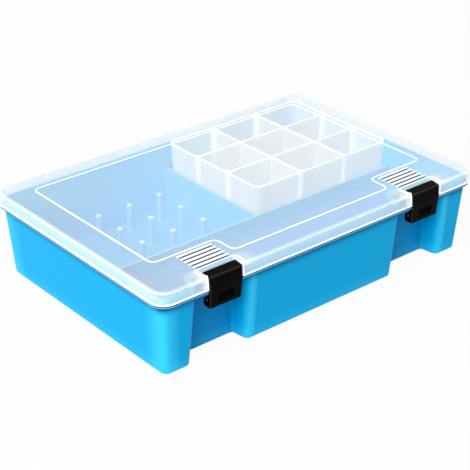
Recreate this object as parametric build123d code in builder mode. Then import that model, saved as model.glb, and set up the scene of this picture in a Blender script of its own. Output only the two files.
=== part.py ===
from build123d import *
from math import atan, degrees, radians, tan
import os

os.makedirs("parts", exist_ok=True)

# Thread storage box: a blue tub under a clear hinged lid, held shut by two swing-down latches.
# Millimetres. The origin is under the middle of the tub, +Z up, X along the long side, latches at -Y.

# Overall plan, which is the lid's
box_length = 350.0
box_depth = 238.0
lid_corner_radius = 14.0

# Tub
rim_height = 67.0
flange_thickness = 2.0
flange_inset = 0.8
rim_inset = 5.2
foot_inset = 9.5
tub_corner_radius = 6.1
least_inner_radius = 0.8
foot_edge_radius = 2.0
foot_width = 5.0
tub_wall = 2.2
floor_top = 7.7
floor_thickness = 2.2
lip_height = 4.5

# Latch bays in the front of the tub, measured at the foot and narrower at the back than at the mouth
latch_inset = 63.9
bay_width = 57.0
bay_depth = 16.4
bay_flare = 1.7
bay_mouth_radius = 5.5
bay_back_radius = 2.5

# Partition walls of the tub, placed from its inner front and left faces at the floor
partition_height = 50.3
partition_thickness = 2.0
front_strip_depth = 85.3
left_bay_length = 166.4

# Lid
lid_gap = 0.4
lid_height = 11.5
lid_wall = 2.2
lid_lean = 0.95
lid_edge_radius = 3.0

# Raised line, grip ribs and latch frames on the lid
bead_width = 2.0
bead_height = 0.8
bead_side_inset = 26.1
bead_rear_inset = 24.7
bead_front_inset = 21.3
bead_shoulder_inset = 44.4
bead_step_from_latch = 24.8
bead_corner_radius = 6.0
bead_round = 0.4
grip_rib_count = 5
grip_rib_length = 36.0
grip_rib_width = 2.7
grip_rib_height = 1.1
grip_rib_pitch = 5.19
grip_rib_inset = 29.5
grip_rib_round = 0.7
frame_half_width = 20.7
frame_behind_hook = 5.0
frame_width = 1.8
frame_height = 0.6
frame_corner_radius = 3.6
frame_round = 0.3

# Latches
latch_width = 33.0
latch_foot_width = 31.0
latch_foot_lean = 1.0
latch_plate = 2.1
latch_drop = 17.1
latch_edge_round = 0.5
latch_bevel = 0.9
hook_reach = 9.8
hook_thickness = 3.2
hook_slope_drop = 1.1
hook_sunk = 0.4
hook_corner_radius = 1.6
cheek_thickness = 2.2
cheek_depth = 9.4
cheek_rear_height = 6.2
cheek_front_height = 11.8
cheek_corner_radius = 2.4
cheek_dip = 0.4
recess_length = 15.5
recess_height = 8.7
recess_above_bottom = 2.4
recess_depth = 1.3

# Clearances round a closed latch
ledge_gap = 0.3
notch_gap = 0.6
notch_side_gap = 0.7
pocket_rear_gap = 0.4
pocket_wall = 2.2
cut_margin = 0.2

# Latch pivots under the rim flange
latch_pin_radius = 1.0
latch_pin_above_bottom = 6.2
latch_plate_gap = 0.3
lug_wall = 0.95
lug_side_gap = 0.35
lug_web = 3.0
gusset_thickness = 2.0
gusset_height = 4.5
gusset_spacing = 18.0

# Rear hinges
hinge_inset = 65.0
hinge_pin_radius = 1.5
hinge_eye_wall = 2.2
hinge_swing_gap = 0.4
lid_eye_length = 24.0
tub_eye_length = 10.0
eye_side_gap = 0.4
eye_above_rim = 1.3

# Fits: a pin pressed into its own piece, a pin that a piece turns on
held_clearance = 0.02
turning_clearance = 0.06

# Spool pegs, pressed into sockets in the floor of the left bay
peg_radius = 2.75
peg_height = 27.0
peg_tip_radius = 1.4
peg_flare = 0.7
spigot_radius = 2.2
spigot_length = 4.3
peg_rows = 3
peg_columns = 3
peg_pitch_x = 33.8
peg_pitch_y = 32.5
peg_right_margin = 19.1
peg_rear_margin = 14.5
socket_wall = 1.6
socket_depth = 4.6
socket_floor = 1.2

# Tray and its loose dividers
tray_lid_gap = 1.5
tray_wall = 1.6
tray_floor = 1.6
tray_draft = 3.0
tray_corner_radius = 5.0
tray_foot_round = 1.0
tray_side_gap = 2.5
tray_partition_gap = 2.1
tray_cells = 3
divider_thickness = 1.5
divider_drop = 0.5
divider_end_gap = 0.3
divider_slot_gap = 0.2
slot_rib_width = 1.6
slot_rib_depth = 2.4

# Places that follow from the sizes above
tub_draft = degrees(atan((foot_inset - rim_inset) / rim_height))
wall_top = rim_height + lip_height
floor_bottom = floor_top - floor_thickness
flange_bottom = rim_height - flange_thickness
lid_bottom = rim_height + lid_gap
lid_top = lid_bottom + lid_height
lid_front = -box_depth / 2
lid_rear = box_depth / 2

lid_draft = degrees(atan(lid_lean / lid_height))

latch_xs = (latch_inset - box_length / 2, box_length / 2 - latch_inset)
latch_bottom = rim_height - latch_drop
notch_width = latch_width + 2 * notch_side_gap
hook_top = lid_top - hook_sunk
hook_underside = hook_top - hook_thickness
hook_rear = lid_front + hook_reach
ledge_top = hook_underside - ledge_gap
pocket_rear = hook_rear + pocket_rear_gap


def latch_front(height):
    """Where the latch's front face is at a height: flush with the skirt, and leaning in below it."""
    if height > lid_bottom:
        return lid_front + lid_lean * (height - lid_bottom) / lid_height
    return lid_front + latch_foot_lean * (lid_bottom - height) / (lid_bottom - latch_bottom)


def latch_inner(height):
    """Where the inner face of the latch's plate is at a height."""
    return latch_front(height) + latch_plate


notch_face = latch_inner(hook_underside) + notch_gap
lug_radius = latch_pin_radius + lug_wall
latch_pin_z = latch_bottom + latch_pin_above_bottom
latch_pin_y = latch_inner(latch_pin_z - lug_radius) + latch_plate_gap + lug_radius
lug_length = latch_foot_width - 2 * (cheek_thickness + lug_side_gap)

hinge_xs = (hinge_inset - box_length / 2, box_length / 2 - hinge_inset)
hinge_eye_radius = hinge_pin_radius + hinge_eye_wall
hinge_y = lid_rear + hinge_swing_gap + hinge_eye_radius
hinge_z = rim_height + eye_above_rim
hinge_pin_length = lid_eye_length + 2 * (eye_side_gap + tub_eye_length)


def lean(height):
    """How far the tub's walls have leaned outwards at a height."""
    return height * tan(radians(tub_draft))


def tub_inside(size, height):
    """Distance from the middle of the tub to its inner face, at a height."""
    return size / 2 - foot_inset + lean(height) - tub_wall


wall_a_y = -tub_inside(box_depth, floor_top) + front_strip_depth + partition_thickness / 2
wall_b_x = -tub_inside(box_length, floor_top) + left_bay_length + partition_thickness / 2

socket_bottom = floor_top - socket_depth
peg_right_x = wall_b_x - partition_thickness / 2 - peg_right_margin
peg_rear_y = tub_inside(box_depth, floor_top) - peg_rear_margin
peg_spots = [(peg_right_x - column * peg_pitch_x, peg_rear_y - row * peg_pitch_y)
             for row in range(peg_rows) for column in range(peg_columns)]

tray_top = lid_top - lid_wall - tray_lid_gap
tray_height = tray_top - floor_top
tray_seat = floor_top + tray_floor


def tray_lean(height):
    """How far the tray's walls have leaned outwards at a height."""
    return (height - floor_top) * tan(radians(tray_draft))


tray_right = tub_inside(box_length, floor_top) - tray_side_gap
tray_rear = tub_inside(box_depth, floor_top) - tray_side_gap
tray_left = wall_b_x + partition_thickness / 2 + tray_partition_gap + tray_lean(partition_height)
tray_front = wall_a_y + partition_thickness / 2 + tray_partition_gap + tray_lean(partition_height)
tray_length = tray_right - tray_left
tray_depth = tray_rear - tray_front
tray_x = (tray_left + tray_right) / 2
tray_y = (tray_front + tray_rear) / 2
divider_top = tray_top - divider_drop
divider_shares = [i / tray_cells - 0.5 for i in range(1, tray_cells)]
divider_xs = [tray_x + (tray_length + 2 * tray_lean(tray_top)) * share for share in divider_shares]
divider_ys = [tray_y + (tray_depth + 2 * tray_lean(tray_top)) * share for share in divider_shares]


def tub_section(height, inset=0.0):
    """Plan of the tub at a height with its two latch bays, set in from the outer faces."""
    half_length = box_length / 2 - foot_inset + lean(height) - inset
    half_depth = box_depth / 2 - foot_inset + lean(height) - inset
    mouth_y = -half_depth - inset
    back_y = mouth_y + bay_depth + inset
    mouth = bay_width / 2 - lean(height) + inset
    back = mouth - bay_flare * (back_y - mouth_y) / bay_depth
    with BuildSketch() as section:
        Rectangle(2 * half_length, 2 * half_depth)
        for x in latch_xs:
            with BuildLine():
                Polyline((x - mouth, mouth_y), (x - back, back_y), (x + back, back_y),
                         (x + mouth, mouth_y), close=True)
            make_face(mode=Mode.SUBTRACT)
        fillet(section.vertices().group_by(Axis.Y)[1], bay_back_radius + inset)
        mouths = section.vertices().group_by(Axis.Y)[0].sort_by(lambda v: abs(v.X))[:4]
        fillet(mouths, max(bay_mouth_radius - inset, least_inner_radius))
        corners = section.vertices().filter_by(lambda v: abs(v.X) > half_length - cut_margin)
        fillet(corners, max(tub_corner_radius - inset, least_inner_radius))
    return section.sketch


def tray_inside(size, height):
    """Distance from the middle of the tray to its inner face, at a height."""
    return size / 2 + tray_lean(height) - tray_wall


def divider_outline(size, middle):
    """Upright outline of a divider that spans the tray between two leaning walls."""
    low = tray_inside(size, tray_seat) - divider_end_gap
    high = tray_inside(size, divider_top) - divider_end_gap
    with BuildSketch() as outline:
        with BuildLine():
            Polyline((middle - low, tray_seat), (middle + low, tray_seat),
                     (middle + high, divider_top), (middle - high, divider_top), close=True)
        make_face()
    return outline.sketch


def rib_outline(size, middle, side):
    """Upright outline of a slot rib that hugs one leaning wall of the tray."""
    low = tray_inside(size, floor_top)
    high = tray_inside(size, tray_top)
    with BuildSketch() as outline:
        with BuildLine():
            Polyline((middle + side * (low + tray_wall / 2), tray_seat - tray_floor / 2),
                     (middle + side * (low - slot_rib_depth), tray_seat - tray_floor / 2),
                     (middle + side * (high - slot_rib_depth), tray_top),
                     (middle + side * (high + tray_wall / 2), tray_top), close=True)
        make_face()
    return outline.sketch


# Tub: leaning walls with two latch bays, raised floor, rim flange and an upstand that the lid drops over
with BuildPart() as base_tub:
    for height in (0, wall_top):
        with BuildSketch(Plane.XY.offset(height)):
            add(tub_section(height))
    loft(ruled=True)
    fillet(base_tub.faces().sort_by(Axis.Z)[0].edges(), foot_edge_radius)
    with BuildSketch(Plane.XY.offset(flange_bottom)):
        RectangleRounded(box_length - 2 * flange_inset, box_depth - 2 * flange_inset,
                         lid_corner_radius - flange_inset)
        with Locations(*[(x, lid_front) for x in latch_xs]):
            Rectangle(notch_width, 2 * (notch_face - lid_front), mode=Mode.SUBTRACT)
    extrude(amount=flange_thickness)

    # Latch lugs: an eye on a web under the flange, with two gussets back to the wall of the bay
    bay_back = lid_front + foot_inset - lean(rim_height) + bay_depth
    for x in latch_xs:
        with BuildSketch(Plane.YZ.offset(x)):
            with Locations((latch_pin_y, latch_pin_z)):
                Circle(lug_radius)
                Rectangle(lug_web, flange_bottom + flange_thickness / 2 - latch_pin_z,
                          align=(Align.CENTER, Align.MIN))
        extrude(amount=lug_length / 2, both=True)
        for gusset_x in (x - gusset_spacing / 2, x + gusset_spacing / 2):
            with BuildSketch(Plane.YZ.offset(gusset_x)):
                with Locations((latch_pin_y, flange_bottom + flange_thickness / 2)):
                    Rectangle(bay_back - latch_pin_y + tub_wall, gusset_height + flange_thickness / 2,
                              align=(Align.MIN, Align.MAX))
            extrude(amount=gusset_thickness / 2, both=True)
        with BuildSketch(Plane.YZ.offset(x)):
            with Locations((latch_pin_y, latch_pin_z)):
                Circle(latch_pin_radius + held_clearance)
        extrude(amount=lug_length, both=True, mode=Mode.SUBTRACT)

    # The cavity above the floor and the hollow below it
    for height in (floor_top, wall_top + lid_gap):
        with BuildSketch(Plane.XY.offset(height)):
            add(tub_section(height, tub_wall))
    loft(ruled=True, mode=Mode.SUBTRACT)
    with BuildSketch(Plane.XY):
        add(tub_section(0, foot_width))
    extrude(amount=floor_bottom, mode=Mode.SUBTRACT)

    # Partition walls: A across the whole tub, B from A to the rear
    half_low = tub_inside(box_length, floor_top) + tub_wall / 2
    half_high = tub_inside(box_length, partition_height) + tub_wall / 2
    rear_low = tub_inside(box_depth, floor_top) + tub_wall / 2
    rear_high = tub_inside(box_depth, partition_height) + tub_wall / 2
    root = floor_top - floor_thickness / 2
    with BuildSketch(Plane.XZ.offset(-wall_a_y)):
        with BuildLine():
            Polyline((-half_low, root), (half_low, root), (half_high, partition_height),
                     (-half_high, partition_height), close=True)
        make_face()
    extrude(amount=partition_thickness / 2, both=True)
    with BuildSketch(Plane.YZ.offset(wall_b_x)):
        with BuildLine():
            Polyline((wall_a_y, root), (rear_low, root), (rear_high, partition_height),
                     (wall_a_y, partition_height), close=True)
        make_face()
    extrude(amount=partition_thickness / 2, both=True)

    # Peg sockets, hanging under the floor
    with BuildSketch(Plane.XY.offset(socket_bottom - socket_floor)):
        with Locations(*peg_spots):
            Circle(spigot_radius + held_clearance + socket_wall)
    extrude(amount=floor_bottom + floor_thickness / 2 - socket_bottom + socket_floor)
    with BuildSketch(Plane.XY.offset(socket_bottom)):
        with Locations(*peg_spots):
            Circle(spigot_radius + held_clearance)
    extrude(amount=socket_depth, mode=Mode.SUBTRACT)

    # Outer eyes of the rear hinges, on the flange
    eye_middle = (lid_eye_length + tub_eye_length) / 2 + eye_side_gap
    for x in hinge_xs:
        for eye_x in (x - eye_middle, x + eye_middle):
            with BuildSketch(Plane.YZ.offset(eye_x)):
                with Locations((hinge_y, hinge_z)):
                    Circle(hinge_eye_radius)
                with Locations((hinge_y, rim_height)):
                    Rectangle(hinge_y - lid_rear + 2 * flange_inset,
                              rim_height - hinge_z + hinge_eye_radius, align=(Align.MAX, Align.MAX))
                with Locations((hinge_y, hinge_z)):
                    Circle(hinge_pin_radius + held_clearance, mode=Mode.SUBTRACT)
            extrude(amount=tub_eye_length / 2, both=True)
base_tub.part.label = "base_tub"
export_step(base_tub.part, "parts/base_tub.step")

# Lid: a shallow clear shell with a leaning skirt, a raised line, grip ribs, latch notches and hinge eyes
with BuildPart() as lid:
    with BuildSketch(Plane.XY.offset(lid_bottom)):
        RectangleRounded(box_length, box_depth, lid_corner_radius)
    extrude(amount=lid_height, taper=lid_draft)
    fillet(lid.faces().sort_by(Axis.Z)[-1].edges(), lid_edge_radius)
    offset(amount=-lid_wall, openings=lid.faces().sort_by(Axis.Z)[0])

    # A low raised frame round the sides and rear of each latch
    frame_rear = hook_rear + frame_behind_hook
    frame_front = lid_front + lid_lean + lid_edge_radius / 2
    for x in latch_xs:
        with BuildSketch(Plane.XY.offset(lid_top - lid_wall / 2)) as frame:
            with Locations((x, (frame_front + frame_rear) / 2)):
                Rectangle(2 * frame_half_width, frame_rear - frame_front)
            fillet(frame.vertices(), frame_corner_radius)
            offset(amount=frame_width / 2)
            offset(amount=-frame_width, mode=Mode.SUBTRACT)
        extrude(amount=lid_wall / 2 + frame_height)
    fillet(lid.faces().group_by(Axis.Z)[-1].edges(), frame_round)

    # Raised line: set back at the front corners, to leave room for the grip ribs
    bead_x = box_length / 2 - bead_side_inset
    bead_step_x = latch_xs[1] - bead_step_from_latch
    with BuildSketch(Plane.XY.offset(lid_top)) as bead:
        with BuildLine():
            Polyline((-bead_x, lid_rear - bead_rear_inset), (bead_x, lid_rear - bead_rear_inset),
                     (bead_x, lid_front + bead_shoulder_inset),
                     (bead_step_x, lid_front + bead_shoulder_inset),
                     (bead_step_x, lid_front + bead_front_inset),
                     (-bead_step_x, lid_front + bead_front_inset),
                     (-bead_step_x, lid_front + bead_shoulder_inset),
                     (-bead_x, lid_front + bead_shoulder_inset), close=True)
        make_face()
        fillet(bead.vertices(), bead_corner_radius)
        offset(amount=bead_width / 2)
        offset(amount=-bead_width, mode=Mode.SUBTRACT)
    extrude(amount=bead_height)
    fillet(lid.faces().sort_by(Axis.Z)[-1].edges(), bead_round)

    # Grip ribs behind each latch
    rib_y = lid_front + grip_rib_inset
    with BuildSketch(Plane.XY.offset(lid_top)):
        with Locations(*[(x, rib_y) for x in latch_xs]):
            with GridLocations(0, grip_rib_pitch, 1, grip_rib_count):
                SlotOverall(grip_rib_length, grip_rib_width)
    extrude(amount=grip_rib_height)
    fillet(lid.faces().group_by(Axis.Z)[-1].edges(), grip_rib_round)

    # Under each latch the skirt is notched, with a wall behind it and a ledge that the hook holds down
    for x in latch_xs:
        with BuildSketch(Plane.YZ.offset(x)):
            with BuildLine():
                Polyline((notch_face - cut_margin, lid_bottom), (notch_face + pocket_wall, lid_bottom),
                         (notch_face + pocket_wall, ledge_top - pocket_wall),
                         (pocket_rear + pocket_wall, ledge_top - pocket_wall),
                         (pocket_rear + pocket_wall, lid_top - lid_wall / 2),
                         (notch_face - cut_margin, lid_top - lid_wall / 2), close=True)
            make_face()
        extrude(amount=notch_width / 2 + pocket_wall, both=True)
        with BuildSketch(Plane.XY.offset(lid_bottom)):
            with Locations((x, lid_front)):
                Rectangle(notch_width, 2 * (notch_face - lid_front))
        extrude(amount=lid_height, mode=Mode.SUBTRACT)
        with BuildSketch(Plane.XY.offset(ledge_top)) as pocket:
            with Locations((x, lid_front)):
                Rectangle(notch_width, 2 * (pocket_rear - lid_front))
            fillet(pocket.vertices().group_by(Axis.Y)[-1], hook_corner_radius + pocket_rear_gap)
        extrude(amount=lid_height, mode=Mode.SUBTRACT)

    # Middle eyes of the rear hinges, on the skirt
    for x in hinge_xs:
        with BuildSketch(Plane.YZ.offset(x)):
            with Locations((hinge_y, hinge_z)):
                Circle(hinge_eye_radius)
                Rectangle(hinge_y - lid_rear + lid_wall / 2, hinge_eye_radius,
                          align=(Align.MAX, Align.MIN))
                Circle(hinge_pin_radius + turning_clearance, mode=Mode.SUBTRACT)
        extrude(amount=lid_eye_length / 2, both=True)
lid.part.label = "lid"
export_step(lid.part, "parts/lid.step")

# Latches: a plate with a hook that lies in the lid's top, and two cheeks that turn on the pivot pin
bevel_bottom = hook_top - hook_slope_drop - latch_bevel
for side, x in zip(("left", "right"), latch_xs):
    with BuildPart() as latch:
        with BuildSketch(Plane.YZ.offset(x)):
            with BuildLine():
                Polyline((latch_front(latch_bottom), latch_bottom), (lid_front, lid_bottom),
                         (latch_front(bevel_bottom), bevel_bottom),
                         (latch_front(bevel_bottom) + latch_bevel, hook_top - hook_slope_drop),
                         (hook_rear, hook_top), (hook_rear, hook_underside),
                         (latch_inner(hook_underside), hook_underside),
                         (latch_inner(lid_bottom), lid_bottom),
                         (latch_inner(latch_bottom), latch_bottom), close=True)
            make_face()
        extrude(amount=latch_width / 2, both=True)
        with BuildSketch(Plane.XZ.offset(-lid_front)):
            with BuildLine():
                Polyline((x - latch_foot_width / 2, latch_bottom), (x + latch_foot_width / 2, latch_bottom),
                         (x + latch_width / 2, hook_top), (x - latch_width / 2, hook_top), close=True)
            make_face()
        extrude(amount=hook_reach, both=True, mode=Mode.INTERSECT)
        hook_corners = latch.faces().sort_by(Axis.Y)[-1].edges().filter_by(Axis.X, reverse=True)
        fillet(hook_corners, hook_corner_radius)
        front_edges = latch.edges().filter_by(lambda e: e.center().Y < lid_front + latch_foot_lean)
        fillet(front_edges.filter_by(Axis.X, reverse=True), latch_edge_round)

        cheek_rear = lid_front + cheek_depth
        cheek_rear_top = (cheek_rear, latch_bottom + cheek_rear_height)
        cheek_top = latch_bottom + cheek_front_height
        cheek_front_top = (latch_inner(cheek_top), cheek_top)
        cheek_root = latch_plate / 2
        cheek_x = (latch_foot_width - cheek_thickness) / 2
        for side_x in (x - cheek_x, x + cheek_x):
            with BuildSketch(Plane.YZ.offset(side_x)) as cheek:
                with BuildLine():
                    Polyline(cheek_front_top, (latch_inner(cheek_top) - cheek_root, cheek_top),
                             (latch_inner(latch_bottom) - cheek_root, latch_bottom),
                             (cheek_rear, latch_bottom), cheek_rear_top)
                    SagittaArc(cheek_rear_top, cheek_front_top, -cheek_dip)
                make_face()
                fillet(cheek.vertices().group_by(Axis.X)[-1], cheek_corner_radius)
            extrude(amount=cheek_thickness / 2, both=True)
        with BuildSketch(Plane.YZ.offset(x)):
            with Locations((latch_pin_y, latch_pin_z)):
                Circle(latch_pin_radius + turning_clearance)
        extrude(amount=latch_width, both=True, mode=Mode.SUBTRACT)

        # Finger scoop, deepest at its top
        scoop_bottom = latch_bottom + recess_above_bottom
        scoop_top = scoop_bottom + recess_height
        with BuildSketch(Plane.YZ.offset(x)):
            with BuildLine():
                Polyline((latch_front(scoop_bottom), scoop_bottom),
                         (latch_front(scoop_top) + recess_depth, scoop_top),
                         (latch_front(scoop_top) - recess_depth, scoop_top),
                         (latch_front(scoop_bottom) - recess_depth, scoop_bottom), close=True)
            make_face()
        extrude(amount=recess_length / 2, both=True, mode=Mode.SUBTRACT)
    latch.part.label = f"latch_{side}"
    export_step(latch.part, f"parts/latch_{side}.step")

# Steel pivot pins of the latches
for side, x in zip(("left", "right"), latch_xs):
    with BuildPart() as latch_pin:
        with BuildSketch(Plane.YZ.offset(x)):
            with Locations((latch_pin_y, latch_pin_z)):
                Circle(latch_pin_radius)
        extrude(amount=latch_foot_width / 2, both=True)
    latch_pin.part.label = f"latch_pin_{side}"
    export_step(latch_pin.part, f"parts/latch_pin_{side}.step")

# Steel pins of the rear hinges
for side, x in zip(("left", "right"), hinge_xs):
    with BuildPart() as hinge_pin:
        with BuildSketch(Plane.YZ.offset(x)):
            with Locations((hinge_y, hinge_z)):
                Circle(hinge_pin_radius)
        extrude(amount=hinge_pin_length / 2, both=True)
    hinge_pin.part.label = f"hinge_pin_{side}"
    export_step(hinge_pin.part, f"parts/hinge_pin_{side}.step")

# Spool pegs, numbered from the rear right: a thinner spigot in the floor, a small flare to stand on
for number, spot in enumerate(peg_spots, 1):
    with BuildPart() as spool_peg:
        with BuildSketch(Plane.XY.offset(floor_top - spigot_length)):
            with Locations(spot):
                Circle(spigot_radius)
        extrude(amount=spigot_length + peg_flare)
        with BuildSketch(Plane.XY.offset(floor_top)):
            with Locations(spot):
                Circle(peg_radius)
        extrude(amount=peg_height)
        fillet(spool_peg.faces().sort_by(Axis.Z)[-1].edges(), peg_tip_radius)
        with Locations((*spot, floor_top)):
            Cone(peg_radius + peg_flare, peg_radius, peg_flare, align=(Align.CENTER, Align.CENTER, Align.MIN))
    spool_peg.part.label = f"spool_peg_{number}"
    export_step(spool_peg.part, f"parts/spool_peg_{number}.step")

# Tray: an open box that stands on the floor of the right bay, with slots for the dividers
with BuildPart() as tray:
    with BuildSketch(Plane.XY.offset(floor_top)):
        with Locations((tray_x, tray_y)):
            RectangleRounded(tray_length, tray_depth, tray_corner_radius)
    extrude(amount=tray_height, taper=-tray_draft)
    fillet(tray.faces().sort_by(Axis.Z)[0].edges(), tray_foot_round)
    seat_grow = tray_lean(tray_seat) - tray_wall
    with BuildSketch(Plane.XY.offset(tray_seat)):
        with Locations((tray_x, tray_y)):
            RectangleRounded(tray_length + 2 * seat_grow, tray_depth + 2 * seat_grow,
                             tray_corner_radius + seat_grow)
    extrude(amount=tray_height, taper=-tray_draft, mode=Mode.SUBTRACT)
    rib_step = (divider_thickness + slot_rib_width) / 2 + divider_slot_gap
    for wall_side in (-1, 1):
        for slot_x in divider_xs:
            for rib_x in (slot_x - rib_step, slot_x + rib_step):
                with BuildSketch(Plane.YZ.offset(rib_x)):
                    add(rib_outline(tray_depth, tray_y, wall_side))
                extrude(amount=slot_rib_width / 2, both=True)
        for slot_y in divider_ys:
            for rib_y in (slot_y - rib_step, slot_y + rib_step):
                with BuildSketch(Plane.XZ.offset(-rib_y)):
                    add(rib_outline(tray_length, tray_x, wall_side))
                extrude(amount=slot_rib_width / 2, both=True)
tray.part.label = "tray"
export_step(tray.part, "parts/tray.step")

# Dividers, halved into each other: the long ones are slotted from the top, the cross ones from below
divider_height = divider_top - tray_seat
halving_width = divider_thickness + 2 * divider_slot_gap
for side, y in zip(("front", "rear"), divider_ys):
    with BuildPart() as divider:
        with BuildSketch(Plane.XZ.offset(-y)):
            add(divider_outline(tray_length, tray_x))
            with Locations(*[(x, divider_top) for x in divider_xs]):
                Rectangle(halving_width, divider_height, mode=Mode.SUBTRACT)
        extrude(amount=divider_thickness / 2, both=True)
    divider.part.label = f"divider_long_{side}"
    export_step(divider.part, f"parts/divider_long_{side}.step")
for side, x in zip(("left", "right"), divider_xs):
    with BuildPart() as divider:
        with BuildSketch(Plane.YZ.offset(x)):
            add(divider_outline(tray_depth, tray_y))
            with Locations(*[(y, tray_seat) for y in divider_ys]):
                Rectangle(halving_width, divider_height, mode=Mode.SUBTRACT)
        extrude(amount=divider_thickness / 2, both=True)
    divider.part.label = f"divider_cross_{side}"
    export_step(divider.part, f"parts/divider_cross_{side}.step")
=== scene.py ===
import math
import bpy
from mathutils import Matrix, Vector


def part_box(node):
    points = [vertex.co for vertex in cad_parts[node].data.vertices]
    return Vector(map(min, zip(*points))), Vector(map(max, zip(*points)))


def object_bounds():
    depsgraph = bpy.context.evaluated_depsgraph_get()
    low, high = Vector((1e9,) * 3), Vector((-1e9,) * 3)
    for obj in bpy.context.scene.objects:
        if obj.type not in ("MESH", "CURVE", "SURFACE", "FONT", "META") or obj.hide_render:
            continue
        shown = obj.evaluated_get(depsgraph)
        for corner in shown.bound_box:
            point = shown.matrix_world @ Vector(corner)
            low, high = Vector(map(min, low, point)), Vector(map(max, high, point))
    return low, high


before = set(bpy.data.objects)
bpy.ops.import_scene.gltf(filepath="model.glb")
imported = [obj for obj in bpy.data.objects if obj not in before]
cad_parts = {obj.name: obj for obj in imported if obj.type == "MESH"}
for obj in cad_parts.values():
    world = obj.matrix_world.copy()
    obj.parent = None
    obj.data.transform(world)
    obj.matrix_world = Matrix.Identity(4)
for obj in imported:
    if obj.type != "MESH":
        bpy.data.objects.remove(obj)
cadLow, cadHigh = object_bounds()
print("frame loaded:", len(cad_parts), "pieces")

camera = {
    "place": (-0.6958, -0.8282, 0.5955), "azimuth": -39.9, "elevation": 27.87,
    "lens": 105.67, "sensorWidth": 36.0, "clipStart": 0.05,
}

studio = {
    "floorSize": 12.0, "floorShade": (0.9, 0.9, 0.9, 1.0), "floorGlow": 0.94,
    "worldStrength": 0.47, "white": (1.0, 1.0, 1.0, 1.0),
    "keyPower": 78.0, "keySize": 2.2, "keyPlace": (-2.3, -0.95, 1.85),
}


def linear(red, green, blue):
    # 0-255 screen colour to the shader's linear values
    values = []
    for channel in (red, green, blue):
        share = channel / 255
        values.append(share / 12.92 if share <= 0.04045 else ((share + 0.055) / 1.055) ** 2.4)
    return (*values, 1.0)


class Wire:
    # one output socket, so that shader sums can be written as Python sums
    def __init__(self, tree, socket):
        self.tree = tree
        self.socket = socket

    def sum(self, operation, first, second=None, clamp=False):
        node = self.tree.nodes.new("ShaderNodeMath")
        node.operation = operation
        node.use_clamp = clamp
        for place, value in enumerate((first, second)):
            if isinstance(value, Wire):
                self.tree.links.new(value.socket, node.inputs[place])
            elif value is not None:
                node.inputs[place].default_value = value
        return Wire(self.tree, node.outputs[0])

    def __add__(self, other):
        return self.sum("ADD", self, other)

    def __radd__(self, other):
        return self.sum("ADD", other, self)

    def __sub__(self, other):
        return self.sum("SUBTRACT", self, other)

    def __rsub__(self, other):
        return self.sum("SUBTRACT", other, self)

    def __mul__(self, other):
        return self.sum("MULTIPLY", self, other)

    def __rmul__(self, other):
        return self.sum("MULTIPLY", other, self)

    def __truediv__(self, other):
        return self.sum("DIVIDE", self, other)

    def __pow__(self, other):
        return self.sum("POWER", self, other)

    def __abs__(self):
        return self.sum("ABSOLUTE", self)

    def fraction(self):
        return self.sum("FRACT", self)

    def kept(self):
        return self.sum("ADD", self, 0.0, clamp=True)

    def over(self, start):
        # how far past the start, and 0 before it
        return self.sum("MAXIMUM", self - start, 0.0)

    def past(self, start, soft):
        # 0 up to the start, rising to 1 over the soft distance
        return ((self - start) / soft).kept()

    def before(self, end, soft):
        # 0 from the end on, rising to 1 over the soft distance short of it
        return ((end - self) / soft).kept()

    def band(self, low, high, soft):
        # 1 between low and high, falling to 0 over the soft distance outside them
        return self.past(low - soft, soft) * self.before(high + soft, soft)


class Finish:
    # a material, or the world, whose nodes are made through one method
    def __init__(self, name, owner=None):
        self.owner = owner or bpy.data.materials.new(name)
        self.owner.use_nodes = True
        self.tree = self.owner.node_tree
        self.tree.nodes.clear()

    def node(self, kind, output=0, settings=None, **inputs):
        made = self.tree.nodes.new("ShaderNode" + kind)
        for name, value in (settings or {}).items():
            setattr(made, name, value)
        for name, value in inputs.items():
            socket = made.inputs[int(name[1:])] if name[1:].isdigit() else made.inputs[name.replace("_", " ")]
            if isinstance(value, Wire):
                self.tree.links.new(value.socket, socket)
            else:
                socket.default_value = value
        if len(made.outputs):
            return Wire(self.tree, made.outputs[output])

    def place(self):
        return self.node("TexCoord", output="Object")

    def axes(self):
        first = self.node("SeparateXYZ", Vector=self.place())
        return [Wire(self.tree, socket) for socket in first.socket.node.outputs]

    def noise(self, scale, detail=2.0, roughness=0.5):
        return self.node("TexNoise", Vector=self.place(), Scale=scale, Detail=detail, Roughness=roughness)

    def streaks(self, scale, stretch, turn):
        laid = self.node("Mapping", Vector=self.place(), Rotation=(0.0, 0.0, turn), Scale=stretch)
        return self.node("TexNoise", Vector=laid, Scale=scale, Detail=3.0, Roughness=0.6)

    def mix(self, share, first, second):
        return self.node("Mix", output=2, settings={"data_type": "RGBA"}, i0=share, i6=first, i7=second)

    def seeThrough(self, alpha, lampShare, bounceShare):
        # milky plastic hides more than it dims: light passes through most of it
        lampLight = self.node("LightPath", output="Is Shadow Ray") * lampShare
        bounced = self.node("LightPath", output="Is Diffuse Ray") * bounceShare
        return (alpha * (1.0 - (lampLight + bounced).kept())).kept()

    def backdropRays(self):
        # the rays that see the background as white
        seen = self.node("LightPath", output="Is Camera Ray") + self.node("LightPath", output="Is Glossy Ray")
        return (seen + self.node("LightPath", output="Is Transmission Ray")).kept()

    def bump(self, height, distance, strength):
        return self.node("Bump", Height=height, Distance=distance, Strength=strength)

    def shine(self, **inputs):
        self.node("OutputMaterial", Surface=self.node("BsdfPrincipled", **inputs))
        return self.owner


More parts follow.
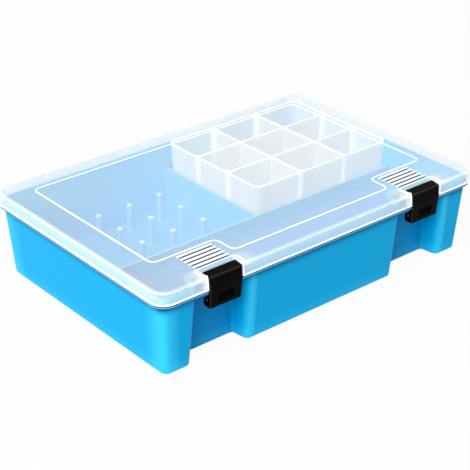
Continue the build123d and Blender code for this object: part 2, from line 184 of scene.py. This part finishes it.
blueLook = {
    "shade": (4, 171, 228), "flowShade": (6, 176, 232), "flowScale": 9.0, "flowRough": 0.06,
    "rough": 0.3, "scuffScale": 160.0, "scuffRough": 0.05, "peelScale": 700.0, "peelDepth": 0.000008,
    # the middles of the outer walls at the foot, which lean outwards
    "wallX": 0.1644, "wallY": 0.1084, "wallRound": 0.005, "wallLean": 0.064, "wallSoft": 0.0006,
    "floorMiddle": 0.004, "insidePaintedLight": (38, 205, 248),
    "lipFrom": 0.0671, "lipSoft": 0.0003,
    # the latch bays
    "bayMiddle": 0.1111, "bayHalf": 0.0313, "bayFlare": 0.0017, "bayMouth": -0.1095, "bayBack": -0.092,
    "baySoft": 0.0004, "bayBackHalf": 0.0262, "bayBackSoft": 0.0015,
    "bayPaintedShade": (0, 100, 178), "bayShadeShare": 0.8, "bayFootShare": 0.45, "bayRise": 10.0,
    # the roundings with a painted highlight
    "cornerHighlightShade": (60, 214, 255), "cornerHighlightShare": 0.7,
    "mouthAt": 0.0322, "mouthHalf": 0.0055, "mouthSoft": 0.004, "mouthFront": -0.098, "mouthFade": 0.006,
    "cornerX": 0.149, "cornerFadeX": 0.01, "cornerY": 0.086, "cornerFadeY": 0.02,
    "footBand": 0.012, "footShare": 0.5,
    # the partitions' top edges
    "paintedHighlightShade": (150, 224, 250), "ledgeTop": 0.0503, "ledgeBand": 0.0007, "ledgeX": 0.1622, "ledgeY": 0.1062,
    # the flange
    "flangeX": 0.17, "flangeY": 0.114, "flangeLow": 0.065, "edgeBand": 0.0007, "edgeShare": 0.6,
    "seamPaintedShadow": (0, 24, 48), "seamLow": 0.0659, "seamBand": 0.0006, "lineSoft": 0.0002,
    "underPaintedShadow": (0, 78, 140), "underLow": 0.0545, "underFade": 0.0075, "underCurve": 1.6,
}


def bluePlastic():
    # moulded polypropylene: slow flow marks, a faint orange peel and handling scuffs
    look = blueLook
    finish = Finish("bluePlastic")
    x, y, z = finish.axes()
    flow = finish.noise(look["flowScale"], 3.0, 0.55)
    scuff = finish.streaks(look["scuffScale"], (1.0, 0.12, 0.35), 0.6)
    peel = finish.noise(look["peelScale"], 1.0)
    colour = finish.mix(flow, linear(*look["shade"]), linear(*look["flowShade"]))
    # painted light: inside, the walls and the floor are written paler, standing in for light that has come through
    # the lid
    lean = z * look["wallLean"]
    outward = abs(x).over(lean + (look["wallX"] - look["wallRound"])) ** 2
    outward = (outward + abs(y).over(lean + (look["wallY"] - look["wallRound"])) ** 2) ** 0.5
    inside = outward.before(look["wallRound"], look["wallSoft"]) * z.past(look["floorMiddle"], 0.001)
    fromBay = abs(abs(x) - look["bayMiddle"])
    depth = (y + lean).past(look["bayMouth"], look["bayBack"] - look["bayMouth"])
    bay = fromBay.before(look["bayHalf"] - depth * look["bayFlare"], look["baySoft"])
    recess = bay * (y + lean).before(look["bayBack"], look["baySoft"])
    lip = z.past(look["lipFrom"], look["lipSoft"])
    inside = (inside * (1.0 - recess) + lip).kept()
    colour = finish.mix(inside, colour, linear(*look["insidePaintedLight"]))
    # painted shade: the bays' backs are written darker, the more so the higher up they are
    bayShadeMask = recess * fromBay.before(look["bayBackHalf"], look["bayBackSoft"]) * depth * (1.0 - lip)
    bayShadeMask = bayShadeMask * (z * look["bayRise"] + look["bayFootShare"]).kept()
    colour = finish.mix(bayShadeMask * look["bayShadeShare"], colour, linear(*look["bayPaintedShade"]))
    # painted highlight: the roundings at the bays' mouths and at the left corners are written paler where the light
    # from the left falls on them, and the foot is written a little paler too
    mouth = 0.0
    for middle in (-look["bayMiddle"], look["bayMiddle"]):
        mouth = mouth + abs(x - (middle + look["mouthAt"])).before(look["mouthHalf"], look["mouthSoft"])
    mouth = mouth * y.before(look["mouthFront"], look["mouthFade"])
    corner = (x + lean).before(-look["cornerX"], look["cornerFadeX"])
    corner = corner * (abs(y) - lean).past(look["cornerY"], look["cornerFadeY"])
    foot = z.before(look["footBand"], look["footBand"]) * look["footShare"]
    cornerHighlightAndFoot = (mouth + corner + foot).kept() * (1.0 - inside) * z.before(look["flangeLow"], 0.002)
    colour = finish.mix(cornerHighlightAndFoot * look["cornerHighlightShare"], colour, linear(*look["cornerHighlightShade"]))
    # painted highlight: the partitions' top edges are written pale
    clear = abs(x).before(look["ledgeX"], 0.001) * abs(y).before(look["ledgeY"], 0.001)
    ledgeHighlight = z.band(look["ledgeTop"] - look["ledgeBand"], look["ledgeTop"] + look["lineSoft"], look["lineSoft"])
    colour = finish.mix(ledgeHighlight * clear, colour, linear(*look["paintedHighlightShade"]))
    # painted shadow: the wall darkens up to the flange; painted highlight: the flange's edge is written pale; painted
    # shadow: the seam above it is written dark
    flangeShadow = z.past(look["underLow"], look["underFade"]) ** look["underCurve"]
    flangeShadow = flangeShadow * z.before(look["flangeLow"], 0.0001) * (1.0 - inside)
    colour = finish.mix(flangeShadow, colour, linear(*look["underPaintedShadow"]))
    outside = (abs(x).past(look["flangeX"], 0.0005) + abs(y).past(look["flangeY"], 0.0005)).kept()
    paintedEdgeHighlight = z.band(look["flangeLow"], look["flangeLow"] + look["edgeBand"], look["lineSoft"]) * outside
    colour = finish.mix(paintedEdgeHighlight * look["edgeShare"], colour, linear(*look["paintedHighlightShade"]))
    seamShadow = z.band(look["seamLow"], look["seamLow"] + look["seamBand"], look["lineSoft"]) * outside
    colour = finish.mix(seamShadow, colour, linear(*look["seamPaintedShadow"]))
    rough = look["rough"] + flow * look["flowRough"] + (scuff - 0.5) * look["scuffRough"]
    return finish.shine(Base_Color=colour, Roughness=rough.kept(), Specular_IOR_Level=0.055,
                        Normal=finish.bump(peel, look["peelDepth"], 0.4))


pegLook = {
    "shade": (92, 206, 248), "flowShade": (116, 214, 250), "grainScale": 120.0, "grainDepth": 0.00005,
    "tipHighlightShade": (226, 248, 254), "tipReach": 0.002, "tipSoft": 0.0015, "lampShare": 0.7,
}


def pegPlastic():
    # the pegs are a paler blue, with a painted highlight on their tips
    look = pegLook
    finish = Finish("pegPlastic")
    z = finish.axes()[2]
    grain = finish.noise(look["grainScale"])
    tipHighlight = z.past(pegHigh.z - look["tipReach"], look["tipSoft"])
    colour = finish.mix(grain, linear(*look["shade"]), linear(*look["flowShade"]))
    colour = finish.mix(tipHighlight, colour, linear(*look["tipHighlightShade"]))
    return finish.shine(Base_Color=colour, Roughness=(0.3 + grain * 0.1).kept(), Specular_IOR_Level=0.3,
                        Alpha=finish.seeThrough(1.0, look["lampShare"], 0.0),
                        Normal=finish.bump(grain, look["grainDepth"], 0.3))


lidLook = {
    "shade": (236, 250, 255), "white": (255, 255, 255), "black": (0, 0, 0), "ribShadowShade": (66, 84, 98),
    "cloudScale": 9.0, "cloudDepth": 0.0004, "scuffScale": 260.0,
    # how much each place hides of what lies behind it
    "veil": 0.132, "edgeOn": 0.36, "cloud": 0.06, "raised": 0.8, "rim": 0.95, "side": 0.07, "round": 0.32,
    "notch": 0.6, "rear": 0.5, "front": 0.04, "beside": 0.25, "ribShadow": 0.75,
    # where these places are
    "lineStand": 0.0003, "rimFoot": 0.0674, "rimBand": 0.0005,
    "cornerX": 0.161, "cornerY": 0.105, "marginFrom": 0.0098, "roundLow": 0.0015, "roundHigh": 0.0007,
    "notchMiddle": 0.1111, "notchHalf": 0.0177, "notchBand": 0.0008, "notchRear": -0.104,
    "besideTo": 0.0215, "besideSoft": 0.014, "besideRear": -0.1, "besideDepth": 0.0035,
    "rearFrom": 0.1145, "frontFrom": -0.072, "frontSoft": 0.02,
    "ribMiddle": -0.0895, "ribPitch": 0.00519, "ribHalf": 0.0165, "ribReach": 0.0135,
    "ribStart": 0.25, "grooveAt": 0.39, "grooveHalf": 0.14,
    # painted glow: emission standing in for light that the plastic carries along itself and lets out there
    "glow": 0.24, "glowFlat": 0.25, "glowLine": 0.6, "glowRim": 0.8, "glowSide": 0.1,
    "lampShare": 1.0, "bounceShare": 1.0,
}


def clearLidPlastic():
    # milky clear plastic: whiter on its raised lines, on its roundings, along its rim, where it is cut and at the
    # rear, partly from thicker plastic and partly as painted highlight
    look = lidLook
    finish = Finish("clearLid")
    x, y, z = finish.axes()
    cloud = finish.noise(look["cloudScale"], 3.0, 0.55)
    scuff = finish.streaks(look["scuffScale"], (0.08, 1.0, 0.5), 0.35)
    facing = finish.node("LayerWeight", output=1, Blend=0.3)
    raised = z.past(lidFlat + look["lineStand"], 0.0003)
    rim = z.before(look["rimFoot"] + look["rimBand"], 0.0003)
    outward = (abs(x).over(look["cornerX"]) ** 2 + abs(y).over(look["cornerY"]) ** 2) ** 0.5
    margin = outward.past(look["marginFrom"], 0.0006)
    rounding = z.band(lidFlat - look["roundLow"], lidFlat - look["roundHigh"], 0.001) * margin
    side = z.before(lidFlat - 0.0005, 0.0015) * margin
    fromLatch = abs(abs(x) - look["notchMiddle"])
    notch = abs(fromLatch - look["notchHalf"]).before(look["notchBand"], 0.0003) * y.before(look["notchRear"], 0.0004)
    # painted light: beside the notches the lid hides more, which lightens the shade seen through it there
    beside = fromLatch.past(look["notchHalf"], 0.001) * y.before(look["besideRear"], 0.005)
    beside = beside * fromLatch.band(look["notchHalf"], look["besideTo"], look["besideSoft"])
    beside = beside * z.past(lidFlat - look["besideDepth"], 0.0005)
    rear = y.past(look["rearFrom"], 0.001)
    # painted light: the front of the top hides a little more of what lies under it, which lightens it there
    front = y.before(look["frontFrom"], look["frontSoft"])
    # painted shadow: a dark line is written into the grooves behind the ribs
    along = (y - look["ribMiddle"]) / look["ribPitch"] - look["ribStart"]
    ribShadow = abs(along.fraction() - look["grooveAt"]).before(look["grooveHalf"], 0.03)
    ribShadow = ribShadow * fromLatch.before(look["ribHalf"], 0.0004)
    ribShadow = ribShadow * abs(y - look["ribMiddle"]).before(look["ribReach"], 0.0003)
    ribShadow = ribShadow * z.past(lidFlat - 0.0004, 0.0002) * z.before(lidFlat + 0.0005, 0.0001)
    raised = raised * (1.0 - ribShadow)
    alpha = look["veil"] + facing * look["edgeOn"] + (cloud - 0.5) * look["cloud"]
    alpha = alpha + raised * look["raised"] + rim * look["rim"] + side * look["side"]
    alpha = alpha + rounding * look["round"] + notch * look["notch"] + rear * look["rear"]
    alpha = alpha + ribShadow * look["ribShadow"] + beside * look["beside"] + front * look["front"]
    # thicker plastic and painted highlight: these places are written white
    thickAndHighlit = (raised + rim + facing + rounding + notch + rear).kept()
    colour = finish.mix(thickAndHighlit, linear(*look["shade"]), linear(*look["white"]))
    colour = finish.mix(ribShadow, colour, linear(*look["ribShadowShade"]))
    # painted glow on the lines, the rim and the skirt, and a little over the whole lid
    lidPaintedGlow = (raised + rounding + notch + rear) * look["glowLine"] + rim * look["glowRim"] + side * look["glowSide"]
    lidPaintedGlow = (lidPaintedGlow + look["glowFlat"]).kept() * (1.0 - ribShadow)
    glow = finish.mix(lidPaintedGlow, linear(*look["black"]), linear(*look["white"]))
    rough = 0.16 + (scuff - 0.5) * 0.1 + cloud * 0.06
    return finish.shine(Base_Color=colour, Roughness=rough.kept(), IOR=1.49,
                        Emission_Color=glow, Emission_Strength=look["glow"],
                        Alpha=finish.seeThrough(alpha, look["lampShare"], look["bounceShare"]),
                        Normal=finish.bump(cloud, look["cloudDepth"], 0.3))


trayLook = {
    "shade": (246, 250, 255), "white": (255, 255, 255), "black": (0, 0, 0), "cloudScale": 11.0, "cloudDepth": 0.0003,
    # how much each place hides of what lies behind it
    "veil": 0.3, "edgeOn": 0.36, "cloud": 0.08, "rim": 0.7, "slot": 0.24,
    "rimBand": 0.0013, "slotHalf": 0.0015, "slotSoft": 0.0004, "wallReach": 0.006,
    "glow": 0.37, "glowFlat": 0.4, "glowRim": 0.6, "glowSlot": 0.3, "lampShare": 1.0, "bounceShare": 0.25,
}


def clearTrayPlastic(name, top):
    # frosted tray plastic, whiter along its top edge, partly from thicker plastic and partly as painted highlight
    look = trayLook
    finish = Finish(name)
    axes = finish.axes()
    cloud = finish.noise(look["cloudScale"], 3.0, 0.55)
    facing = finish.node("LayerWeight", output=1, Blend=0.3)
    rim = axes[2].past(top - look["rimBand"], 0.0004)
    # thick where the dividers are slotted into the walls
    slots = 0.0
    for plates, across, along in ((crossPlates, 0, 1), (longPlates, 1, 0)):
        lines = 0.0
        for plate in plates:
            low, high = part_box(plate)
            fromPlate = abs(axes[across] - (low[across] + high[across]) / 2)
            lines = lines + fromPlate.before(look["slotHalf"] + look["slotSoft"], look["slotSoft"])
        walls = axes[along].past(trayHigh[along] - look["wallReach"], 0.0005)
        walls = walls + axes[along].before(trayLow[along] + look["wallReach"], 0.0005)
        slots = slots + lines * walls
    slots = slots.kept()
    alpha = look["veil"] + facing * look["edgeOn"] + (cloud - 0.5) * look["cloud"]
    alpha = alpha + rim * look["rim"] + slots * look["slot"]
    colour = finish.mix((rim + slots).kept(), linear(*look["shade"]), linear(*look["white"]))
    # painted glow: emission standing in for the light that the frosted walls pass on to each other, most of all to
    # their top edge
    trayPaintedGlow = (look["glowFlat"] + rim * look["glowRim"] + slots * look["glowSlot"]).kept()
    glow = finish.mix(trayPaintedGlow, linear(*look["black"]), linear(*look["white"]))
    return finish.shine(Base_Color=colour, Roughness=(0.25 + cloud * 0.1).kept(), IOR=1.49,
                        Emission_Color=glow, Emission_Strength=look["glow"],
                        Alpha=finish.seeThrough(alpha, look["lampShare"], look["bounceShare"]),
                        Normal=finish.bump(cloud, look["cloudDepth"], 0.3))


latchLook = {
    "deep": (2, 1, 1), "brown": (13, 9, 4), "paintedEdgeHighlight": (62, 52, 42), "scoop": (1, 1, 1),
    "grainScale": 1600.0, "grainDepth": 0.00002, "smearScale": 45.0,
    # the outer face, which widens and leans with height
    "middle": 0.1111, "foot": 0.0499, "footHalf": 0.0155, "halfLean": 0.035,
    "front": -0.119, "frontTurn": 0.0674, "frontLean": 0.057, "highlightBand": 0.0007, "latchHighlightShare": 0.7,
    "scoopHalf": 0.0079, "scoopLow": 0.0521, "scoopHigh": 0.0612,
    "bevelLow": 0.0766, "bevelHigh": 0.0774, "lineSoft": 0.0001,
}


def latchPlastic():
    # glossy black moulding with a fine grain and a brown cast, with painted highlights on its edges and painted shade
    # in its finger scoop
    look = latchLook
    finish = Finish("blackPlastic")
    x, y, z = finish.axes()
    grain = finish.noise(look["grainScale"], 2.0, 0.6)
    smear = finish.noise(look["smearScale"])
    colour = finish.mix(smear, linear(*look["deep"]), linear(*look["brown"]))
    fromMiddle = abs(abs(x) - look["middle"])
    half = look["footHalf"] + (z - look["foot"]) * look["halfLean"]
    face = look["front"] + (look["frontTurn"] - z).over(0.0) * look["frontLean"]
    onFace = y.before(face + 0.0008, 0.0002)
    # painted highlight: the face's side edges and the bevel line are written lighter
    latchHighlight = fromMiddle.past(half - look["highlightBand"], 0.0003) * onFace * look["latchHighlightShare"]
    latchHighlight = (latchHighlight + z.band(look["bevelLow"], look["bevelHigh"], look["lineSoft"])).kept()
    # painted shade: the finger scoop is written black
    scoop = z.band(look["scoopLow"], look["scoopHigh"], look["lineSoft"])
    scoop = scoop * fromMiddle.before(look["scoopHalf"], look["lineSoft"]) * y.past(face + 0.0002, look["lineSoft"])
    colour = finish.mix(latchHighlight * (0.5 + smear * 0.5), colour, linear(*look["paintedEdgeHighlight"]))
    colour = finish.mix(scoop, colour, linear(*look["scoop"]))
    return finish.shine(Base_Color=colour, Roughness=(0.26 + smear * 0.12 + scoop * 0.4).kept(),
                        Specular_IOR_Level=0.024, Normal=finish.bump(grain, look["grainDepth"], 0.4))


pinLook = {"dark": (176, 178, 182), "light": (214, 214, 214), "lineScale": 700.0, "lineDepth": 0.00002}


def pinSteel():
    # drawn wire with lines along the pin
    finish = Finish("steel")
    lines = finish.streaks(pinLook["lineScale"], (0.02, 1.0, 1.0), 0.0)
    colour = finish.mix(lines, linear(*pinLook["dark"]), linear(*pinLook["light"]))
    return finish.shine(Base_Color=colour, Metallic=1.0, Roughness=(0.22 + lines * 0.14).kept(),
                        Normal=finish.bump(lines, pinLook["lineDepth"], 0.4))


def dress(material, pieces):
    for name in pieces:
        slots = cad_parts[name].data.materials
        slots.clear()
        slots.append(material)


ribStand = 0.0011  # the lid's ribs stand this far above its flat top
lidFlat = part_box("lid")[1].z - ribStand
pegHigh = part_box("spool_peg_1")[1]
trayLow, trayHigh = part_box("tray")
crossPlates = ("divider_cross_left", "divider_cross_right")
longPlates = ("divider_long_front", "divider_long_rear")
dress(bluePlastic(), ["base_tub"])
dress(pegPlastic(), [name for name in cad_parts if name.startswith("spool")])
dress(clearLidPlastic(), ["lid"])
dress(clearTrayPlastic("clearTray", trayHigh.z), ["tray"])
dress(clearTrayPlastic("clearDivider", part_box("divider_long_front")[1].z), crossPlates + longPlates)
dress(latchPlastic(), ["latch_left", "latch_right"])
dress(pinSteel(), [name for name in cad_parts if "pin" in name])
print("finishes on")


def makeStudio():
    # the floor takes the box's shadow, and looks white as the background does
    ground = Finish("whiteFloor")
    white = ground.node("Emission", Color=studio["white"], Strength=1.0)
    plain = ground.node("BsdfDiffuse", Color=studio["floorShade"])
    seen = ground.backdropRays() * studio["floorGlow"]
    ground.node("OutputMaterial", Surface=ground.node("MixShader", i0=seen, i1=plain, i2=white))
    bpy.ops.mesh.primitive_plane_add(size=studio["floorSize"], location=(0.0, 0.0, cadLow.z))
    floor = bpy.context.object
    floor.name = "floor"
    floor.data.materials.append(ground.owner)

    world = bpy.data.worlds.new("studio")
    bpy.context.scene.world = world
    sky = Finish("studio", world)
    strength = studio["worldStrength"] + sky.backdropRays() * (1.0 - studio["worldStrength"])
    sky.node("OutputWorld", Surface=sky.node("Background", Color=studio["white"], Strength=strength))

    softbox = bpy.data.lights.new("keyLight", "AREA")
    softbox.shape = "SQUARE"
    softbox.size = studio["keySize"]
    softbox.energy = studio["keyPower"]
    lamp = bpy.data.objects.new("keyLight", softbox)
    lamp.location = studio["keyPlace"]
    lamp.rotation_euler = (-Vector(studio["keyPlace"])).to_track_quat("-Z", "Y").to_euler()
    bpy.context.scene.collection.objects.link(lamp)


def makeCamera():
    data = bpy.data.cameras.new("photoCamera")
    data.lens = camera["lens"]
    data.sensor_width = camera["sensorWidth"]
    data.clip_start = camera["clipStart"]
    eye = bpy.data.objects.new("photoCamera", data)
    turn = math.radians(camera["azimuth"])
    drop = math.radians(camera["elevation"])
    ahead = Vector((-math.sin(turn) * math.cos(drop), math.cos(turn) * math.cos(drop), -math.sin(drop)))
    eye.location = camera["place"]
    eye.rotation_euler = ahead.to_track_quat("-Z", "Y").to_euler()
    bpy.context.scene.collection.objects.link(eye)
    bpy.context.scene.camera = eye


makeStudio()
makeCamera()
bpy.context.scene.view_settings.view_transform = "Standard"
print("studio and camera set")
